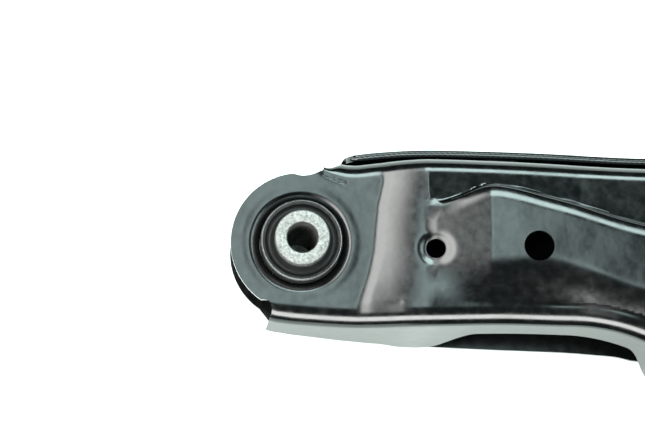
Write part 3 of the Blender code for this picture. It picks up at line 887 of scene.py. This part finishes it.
def build_stud(material):
    bm = bmesh.new()
    profile = sphere_points(BALL_R, -84, 56, 40, BALL_Z)
    profile += rounded_line([(7.2, 4.6), (7.0, 8.0), (7.2, 14.0), (9.6, 18.6), (10.0, 20.5),
                             (10.0, 28.0), (8.5, 47.4), (THREAD_R, 48.2)], 0.5)
    rows = [[r] * ROUND + [z] for r, z in profile]
    steps = math.ceil((STUD_TOP - THREAD_LOW) / THREAD_PITCH * 10)
    for k in range(1, steps + 1):
        z = THREAD_LOW + (STUD_TOP - THREAD_LOW) * k / steps
        rows.append([thread_radius(z, i / ROUND) for i in range(ROUND)] + [z])
    rings = []
    for row in rows:
        rings.append([bm.verts.new((*round_point(NOSE, r, 2 * math.pi * i / ROUND), row[-1]))
                      for i, r in enumerate(row[:-1])])
    add_tube_walls(bm, rings)
    bm.faces.new(rings[0])
    end = rings[-1]
    for radius, z in ((3.4, STUD_TOP), (2.4, STUD_TOP - 0.9), (0.3, STUD_TOP - 1.9)):
        fresh = [bm.verts.new((x, y, z)) for x, y in hole_ring(NOSE, radius, ROUND)]
        wall_between(bm, end, fresh)
        end = fresh
    bm.faces.new(end)
    finish_closed("ball_stud_forging", bm, material, "stud", ("ball_stud",), "machined", 50)


def polar_rows(bm, rows, count):
    """Closed tube of rings from functions (radius of the angle, height); returns the rings."""
    rings = []
    for radius_of, z in rows:
        ring = []
        for i in range(count):
            a = 2 * math.pi * i / count
            ring.append(bm.verts.new((*round_point(NOSE, radius_of(a), a), z)))
        rings.append(ring)
    add_tube_walls(bm, rings)
    return rings


def build_nut(material):
    """Hexagon with chamfered corners, and six lugs standing on it."""
    bm = bmesh.new()
    flat = NUT_CORNER * math.cos(math.radians(30))

    def hexagon(limit):
        def radius(a):
            off = (a % math.radians(60)) - math.radians(30)
            return min(flat / math.cos(off), limit)
        return radius

    lip = NUT_BORE + 0.7
    rows = [(lambda a: lip, NUT_LOW + 0.1), (hexagon(flat - 0.4), NUT_LOW + 0.1),
            (hexagon(flat + 0.1), NUT_LOW + 0.5), (hexagon(flat + 0.9), NUT_LOW + 1.0),
            (hexagon(20), NUT_LOW + 1.7), (hexagon(20), NUT_STEP - 1.6),
            (hexagon(flat + 0.9), NUT_STEP - 0.9), (hexagon(flat + 0.1), NUT_STEP - 0.4),
            (hexagon(flat - 0.5), NUT_STEP), (lambda a: NUT_BORE, NUT_STEP),
            (lambda a: NUT_BORE, NUT_LOW + 0.8)]
    rings = polar_rows(bm, rows, 144)
    wall_between(bm, rings[-1], rings[0])
    for k in range(6):
        mid = math.radians(60 * k)
        lug = []
        inner = math.radians(30) - math.asin(NUT_SLOT / NUT_BORE)
        outer = math.radians(30) - math.asin(NUT_SLOT / NUT_CROWN)
        plan = [(NUT_CROWN, mid - outer + 2 * outer * i / 10) for i in range(11)]
        plan += [(NUT_BORE + 0.05, mid + inner - 2 * inner * i / 6) for i in range(7)]
        for inset, z in ((0.0, NUT_STEP - 0.3), (0.0, NUT_TOP - 0.6), (0.25, NUT_TOP - 0.2),
                         (0.7, NUT_TOP)):
            ring = []
            for r, a in plan:
                r = r - inset if r > NUT_BORE + 1 else r + inset * 0.3
                ring.append(bm.verts.new((*round_point(NOSE, r, a), z)))
            lug.append(ring)
        add_closed_tube(bm, lug)
    finish_closed("castle_nut_forging", bm, material, "stud", ("castle_nut",), "plated", 25)


def add_tube(bm, path, radius, sides=16):
    """Round bar along a path of points in space."""
    path = [Vector(p) for p in path]
    up = Vector((0.13, 0.21, 1.0))
    rings = []
    for i, p in enumerate(path):
        ahead = (path[min(i + 1, len(path) - 1)] - path[max(i - 1, 0)]).normalized()
        side = ahead.cross(up).normalized()
        up = side.cross(ahead)
        rings.append([bm.verts.new(p + radius * (side * math.cos(2 * math.pi * k / sides)
                                                 + up * math.sin(2 * math.pi * k / sides)))
                      for k in range(sides)])
    add_closed_tube(bm, rings)


def build_pin(material):
    """Split pin: an eye, two legs through the stud, one bent up and one bent down."""
    bm = bmesh.new()
    turn = math.radians(30)

    def at(s, t, z):
        return (NOSE[0] + s * math.cos(turn) - t * math.sin(turn),
                NOSE[1] + s * math.sin(turn) + t * math.cos(turn), z)

    for side in (-1, 1):
        leg = []
        for i in range(25):
            a = math.pi * i / 24
            leg.append((-PIN_EYE_S + 1.9 * math.cos(math.pi - a), 0.0,
                        PIN_Z + side * (0.72 + 1.3 * math.sin(a))))
        leg += [(s, 0.0, PIN_Z + side * 0.72) for s in (-10.0, -5.0, 0.0, 5.0, 10.6)]
        for i in range(1, 11):
            a = math.radians(8.2 * i)
            leg.append((10.6 + 2.6 * math.sin(a), 0.0,
                        PIN_Z + side * (0.72 + 2.6 * (1 - math.cos(a)))))
        leg.append((13.5, 0.0, PIN_Z + side * (9.0 if side > 0 else 6.2)))
        add_tube(bm, [at(*p) for p in leg], PIN_WIRE)
    finish_closed("split_pin_wire", bm, material, "stud", ("cotter_pin",), "plated", 50)


def build_wire_ring(name, radius, z, wire, turns, body, replaced, material):
    """Spring clamp: a wire wound a little more than the given number of turns."""
    bm = bmesh.new()
    count = int(96 * turns)
    path = []
    for i in range(count + 1):
        a = 2 * math.pi * i / 96
        path.append((*round_point(NOSE, radius, a),
                     z + (i / count - 0.5) * wire * 2.05 * (turns - 1)))
    add_tube(bm, path, wire, 14)
    finish_closed(name, bm, material, body, (replaced,), "plated", 50)


def build_boot(material):
    """Ribbed boot with a bead at each end, turned as one closed wall."""
    outer = [(23.2, 3.6), (23.4, 4.3), (22.95, 5.0), (22.9, 7.2), (23.3, 8.0), (24.3, 9.3),
             (25.3, 11.0), (25.0, 12.9), (23.7, 14.2), (22.1, 14.5), (22.3, 15.3), (22.0, 16.8),
             (20.4, 17.9), (18.6, 17.9), (18.2, 18.6), (17.6, 19.7), (15.8, 20.5), (14.3, 20.6),
             (13.6, 21.6), (12.6, 22.8), (12.35, 23.6), (12.35, 25.7), (12.75, 26.3), (12.5, 27.1)]
    inner = [(10.3, 27.2), (10.3, 22.6), (11.6, 20.6), (13.6, 18.9), (16.4, 17.9), (17.4, 16.5),
             (20.0, 15.4), (20.8, 13.4), (22.6, 12.4), (23.4, 10.9), (22.3, 9.3), (20.4, 8.3),
             (20.3, 3.6)]
    profile = rounded_line(outer, 0.6) + rounded_line(inner, 0.4)
    boot = lathe("dust_boot_moulding", profile, material, None, ("dust_boot",), "rubber", NOSE,
                 ROUND, 60)
    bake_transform(boot)


def build_ball_joint(mats):
    flange = -TONGUE_Z - GAP
    lathe("ball_joint_housing_forging", rounded(
        [(22, REST_Z + 1.4), (22.2, flange - 9), (25.5, flange - 5.8), (37.4, flange - 5.6),
         (38, flange - 5.0), (38, flange - 0.5), (37.6, flange), (NECK_R, flange), (NECK_R, 6.4),
         (NECK_R - 0.6, 7), (16.2, 7), (15.6, 6.4), (15.6, 3.2), (17.3, 3.0), (17.3, -28.2),
         (19.0, -28.3), (18.6, -31.9), (18.9, REST_Z + 0.9), (20.0, REST_Z), (21, REST_Z)], 0.9, 5),
        mats["forged"], "arm", ("ball_joint_housing",), "forged", NOSE, ROUND, 50)
    lathe("ball_seat_moulding",
          [(17, -27.9), (17.1, 2.2), (16.8, 2.6), (15.8, 2.6)]
          + sphere_points(BALL_R + 0.15, 26, -86, 40, BALL_Z) + [(0.9, -27.9)],
          mats["plastic"], "arm", ("ball_seat",), "seat_plastic", NOSE, ROUND, 50)
    cap = [(0.0, -30.2), (5.5, -30.2), (7.2, -31.3), (12.6, -31.3), (14.0, -30.5),
           (17.4, -30.6), (18.7, -31.2), (18.9, -29.0), (18.5, -28.5), (0.0, -28.5)]
    lathe("ball_joint_cap_disc", rounded_line(cap, 0.4),
          mats["plated"], "arm", ("ball_joint_cap",), "plated", NOSE, ROUND, 40)
    build_stud(mats["machined"])
    build_nut(mats["plated"])
    build_pin(mats["plated"])
    build_boot(mats["rubber"])
    build_wire_ring("boot_lower_clamp_wire", 23.75, 6.1, 0.46, 2.1, "boot_base", "boot_lower_ring",
                    mats["plated"])
    build_wire_ring("boot_upper_clamp_wire", 13.1, 24.7, 0.42, 2.1, "boot_neck", "boot_upper_ring",
                    mats["plated"])
    top, low = TONGUE_Z, flange - 5.6
    dome = [(6.3, 0.0), (6.35, 0.5), (6.1, 1.2), (5.3, 2.1), (4.0, 2.75), (2.2, 3.1), (0.0, 3.2)]
    for i, centre in enumerate(rivet_centres()):
        profile = [(r, low - h) for r, h in reversed(dome)] + [(RIVET_R, low), (RIVET_R, top)]
        profile += [(r, top + h) for r, h in dome]
        name = "ball_joint_rivet_%d" % (i + 1)
        lathe(name + "_forging", profile, mats["plated"], "arm", (name,), "plated", centre, 64, 50)


# ---- materials ----
class Nodes:
    """Short way to build a Principled material with procedural detail."""

    def __init__(self, name, colour, metallic, roughness):
        self.mat = bpy.data.materials.new(name)
        self.mat.use_nodes = True
        self.tree = self.mat.node_tree
        self.shader = self.tree.nodes["Principled BSDF"]
        self.shader.inputs["Base Color"].default_value = (*colour, 1)
        self.shader.inputs["Metallic"].default_value = metallic
        self.shader.inputs["Roughness"].default_value = roughness
        self.coord = self.tree.nodes.new("ShaderNodeTexCoord").outputs["Object"]

    def noise(self, scale, detail=2.0, roughness=0.5):
        node = self.tree.nodes.new("ShaderNodeTexNoise")
        node.inputs["Scale"].default_value = scale
        node.inputs["Detail"].default_value = detail
        node.inputs["Roughness"].default_value = roughness
        self.tree.links.new(self.coord, node.inputs["Vector"])
        return node.outputs["Fac"]

    def ramp(self, fac, stops):
        node = self.tree.nodes.new("ShaderNodeValToRGB")
        self.tree.links.new(fac, node.inputs["Fac"])
        ramp = node.color_ramp
        while len(ramp.elements) < len(stops):
            ramp.elements.new(0.5)
        for element, (at, colour) in zip(ramp.elements, stops):
            element.position = at
            element.color = (*colour, 1) if len(colour) == 3 else colour
        return node.outputs["Color"]

    def bump(self, sources, strengths, distances):
        last = None
        for fac, strength, reach in zip(sources, strengths, distances):
            node = self.tree.nodes.new("ShaderNodeBump")
            node.inputs["Strength"].default_value = strength
            node.inputs["Distance"].default_value = reach
            self.tree.links.new(fac, node.inputs["Height"])
            if last is not None:
                self.tree.links.new(last, node.inputs["Normal"])
            last = node.outputs["Normal"]
        self.tree.links.new(last, self.shader.inputs["Normal"])

    def feed(self, source, name):
        self.tree.links.new(source, self.shader.inputs[name])


def grey(v):
    return (v, v, v)


def make_paint():
    m = Nodes("gloss_black_ecoat", (0.0012, 0.0015, 0.0015), 0.0, 0.15)
    peel = m.noise(620, 2)
    wave = m.noise(95, 2)
    m.bump([peel, wave], [0.22, 0.30], [0.00004, 0.00025])
    m.feed(m.ramp(m.noise(260, 4), [(0.3, grey(0.13)), (0.75, grey(0.22))]), "Roughness")
    return m.mat


def make_bare():
    m = Nodes("bare_granular_steel", (0.5, 0.5, 0.49), 0.75, 0.5)
    grain = m.noise(900, 5, 0.7)
    blot = m.noise(420, 3)
    m.feed(m.ramp(grain, [(0.34, (0.075, 0.077, 0.075)), (0.5, (0.155, 0.157, 0.15)),
                          (0.66, (0.25, 0.25, 0.24))]), "Base Color")
    m.feed(m.ramp(blot, [(0.3, grey(0.38)), (0.7, grey(0.62))]), "Roughness")
    m.bump([grain], [0.8], [0.0002])
    return m.mat


def make_finish(name, colour, metallic, roughness, bump, blot):
    """A plain finish: bump is (noise scale, strength), blot (noise scale, low, high roughness)."""
    m = Nodes(name, colour, metallic, roughness)
    m.bump([m.noise(bump[0], 3)], [bump[1]], [0.0001])
    low, high = grey(blot[1]), grey(blot[2])
    m.feed(m.ramp(m.noise(blot[0], 3), [(0.3, low), (0.7, high)]), "Roughness")
    return m.mat


def make_rubber():
    m = Nodes("moulded_rubber", (0.006, 0.0065, 0.0065), 0.0, 0.6)
    m.shader.inputs["Specular IOR Level"].default_value = 0.22
    m.bump([m.noise(1400, 4)], [0.4], [0.0001])
    m.feed(m.ramp(m.noise(240, 3), [(0.3, grey(0.45)), (0.7, grey(0.72))]), "Roughness")
    return m.mat


def make_forged():
    m = Nodes("painted_forging", (0.012, 0.012, 0.013), 0.0, 0.35)
    m.bump([m.noise(260, 4)], [0.5], [0.0004])
    return m.mat


# ---- studio ----
def build_floor():
    bm = bmesh.new()
    bmesh.ops.create_grid(bm, x_segments=1, y_segments=1, size=3.0)
    mesh = bpy.data.meshes.new("studio_floor")
    bm.to_mesh(mesh)
    bm.free()
    m = Nodes("floor_white", (0.66, 0.71, 0.685), 0.0, 0.6)
    mesh.materials.append(m.mat)
    floor = bpy.data.objects.new("studio_floor", mesh)
    floor.location = (0, 0, -0.0005)
    bpy.context.collection.objects.link(floor)


VIEW_AT = (10.0, 13.0, EAR_Z)    # drawing point in the middle of the picture
VIEW_TILT = 10.5                 # degrees off the vertical
VIEW_FROM = (-0.305, -0.952)     # plan direction of the camera from that point
VIEW_DISTANCE = 900.0
VIEW_WIDTH = 303.0               # width of the picture at that point
SENSOR = 36.0
DARK_SKY = (0.012, 0.014, 0.014)
COOL = (0.76, 0.98, 0.97)
WARM = (0.985, 1.0, 0.98)


def build_camera():
    cam = bpy.data.cameras.new("camera")
    obj = bpy.data.objects.new("camera", cam)
    bpy.context.collection.objects.link(obj)
    tilt = math.radians(VIEW_TILT)
    back = Vector((VIEW_FROM[0] * math.sin(tilt), VIEW_FROM[1] * math.sin(tilt), math.cos(tilt)))
    obj.location = place(VIEW_AT) + back.normalized() * VIEW_DISTANCE * 0.001
    obj.rotation_mode = "QUATERNION"
    right = (-back).cross(Vector((0, 1, 0))).normalized()
    turn = Matrix((right, back.normalized().cross(right), back.normalized())).transposed()
    obj.rotation_quaternion = turn.to_quaternion()
    cam.sensor_width = SENSOR
    cam.lens = SENSOR * VIEW_DISTANCE / VIEW_WIDTH
    cam.clip_start, cam.clip_end = 0.01, 50
    bpy.context.scene.camera = obj


class Sky:
    """World of soft panels, placed by the slope (x/z, y/z) of the direction that sees them."""

    def __init__(self):
        world = bpy.data.worlds.new("studio")
        world.use_nodes = True
        self.tree = world.node_tree
        coord = self.tree.nodes.new("ShaderNodeTexCoord")
        split = self.tree.nodes.new("ShaderNodeSeparateXYZ")
        self.tree.links.new(coord.outputs["Generated"], split.inputs[0])
        height = self.math("MAXIMUM", split.outputs["Z"], 0.02)
        self.slope = [self.math("DIVIDE", split.outputs[axis], height) for axis in ("X", "Y")]
        self.above = self.ease(split.outputs["Z"], 0.0, 0.06)
        self.total = None
        self.back = self.tree.nodes["Background"]
        bpy.context.scene.world = world

    def math(self, operation, a, b):
        node = self.tree.nodes.new("ShaderNodeMath")
        node.operation = operation
        for socket, value in zip(node.inputs, (a, b)):
            if isinstance(value, (int, float)):
                socket.default_value = value
            else:
                self.tree.links.new(value, socket)
        return node.outputs[0]

    def ease(self, value, start, end):
        node = self.tree.nodes.new("ShaderNodeMapRange")
        node.interpolation_type = "SMOOTHSTEP"
        self.tree.links.new(value, node.inputs["Value"])
        flip = start > end
        node.inputs["From Min"].default_value = min(start, end)
        node.inputs["From Max"].default_value = max(start, end)
        node.inputs["To Min"].default_value = 1.0 if flip else 0.0
        node.inputs["To Max"].default_value = 0.0 if flip else 1.0
        return node.outputs["Result"]

    def panel(self, x_range, y_range, soft, colour, strength):
        """A soft-edged panel; soft is the width of each of its four edges."""
        mask = self.above
        for value, (lo, hi), (soft_lo, soft_hi) in zip(self.slope, (x_range, y_range), soft):
            mask = self.math("MULTIPLY", mask, self.ease(value, lo - soft_lo / 2, lo + soft_lo / 2))
            mask = self.math("MULTIPLY", mask, self.ease(value, hi + soft_hi / 2, hi - soft_hi / 2))
        node = self.tree.nodes.new("ShaderNodeVectorMath")
        node.operation = "SCALE"
        node.inputs[0].default_value = [c * strength for c in colour]
        self.tree.links.new(mask, node.inputs["Scale"])
        self.add(node.outputs[0])

    def add(self, colour):
        node = self.tree.nodes.new("ShaderNodeVectorMath")
        node.operation = "ADD"
        if self.total is None:
            node.inputs[0].default_value = DARK_SKY
        else:
            self.tree.links.new(self.total, node.inputs[0])
        self.tree.links.new(colour, node.inputs[1])
        self.total = node.outputs[0]

    def finish(self):
        self.tree.links.new(self.total, self.back.inputs["Color"])


def build_world():
    sky = Sky()
    sky.panel((-0.05, 0.11), (-0.06, 0.55), ((0.06, 0.10), (0.16, 0.2)), COOL, 6.6)
    sky.panel((-0.10, 0.45), (0.50, 1.10), ((0.10, 0.2), (0.2, 0.15)), COOL, 18.0)
    sky.panel((0.55, 1.00), (-0.4, 0.5), ((0.15, 0.2), (0.3, 0.2)), COOL, 14.0)
    sky.panel((-0.95, -0.22), (-0.38, 0.9), ((0.5, 0.32), (0.3, 0.5)), WARM, 12.5)
    sky.panel((-1.2, 0.55), (-1.9, -0.84), ((0.5, 0.25), (0.6, 0.2)), WARM, 18.0)
    sky.finish()


def main():
    mats = {
        "paint": make_paint(),
        "bare": make_bare(),
        "sleeve": make_finish("dark_sleeve_steel", (0.15, 0.15, 0.148), 0.9, 0.3, (800, 0.3),
                              (300, 0.22, 0.42)),
        "rubber": make_rubber(),
        "plated": make_finish("zinc_plated_steel", (0.13, 0.133, 0.136), 1.0, 0.35, (900, 0.25),
                              (350, 0.26, 0.45)),
        "forged": make_forged(),
        "machined": make_finish("machined_steel", (0.12, 0.12, 0.12), 1.0, 0.3, (700, 0.2),
                                (420, 0.2, 0.38)),
        "plastic": make_finish("seat_acetal", (0.62, 0.61, 0.57), 0.0, 0.45, (500, 0.2),
                               (160, 0.38, 0.55))}
    build_upper(mats["paint"])
    build_lower(mats["paint"])
    build_front_bush(mats)
    build_rear_bush(mats)
    build_welds(mats["paint"])
    build_ball_joint(mats)
    renamed = {"sleeve_steel": "sleeve", "bare_sleeve": "bare", "seat_plastic": "plastic"}
    finish = {}
    for part in frame["record"]["subparts"]:
        slot = part["material_slot"]
        finish[part["node"]] = mats[renamed.get(slot, slot)]
    for name, node in frame["nodes"].items():
        node.data.materials.clear()
        node.data.materials.append(finish[name])
    build_floor()
    build_world()
    build_camera()
    bpy.context.scene.view_settings.view_transform = "Standard"


main()
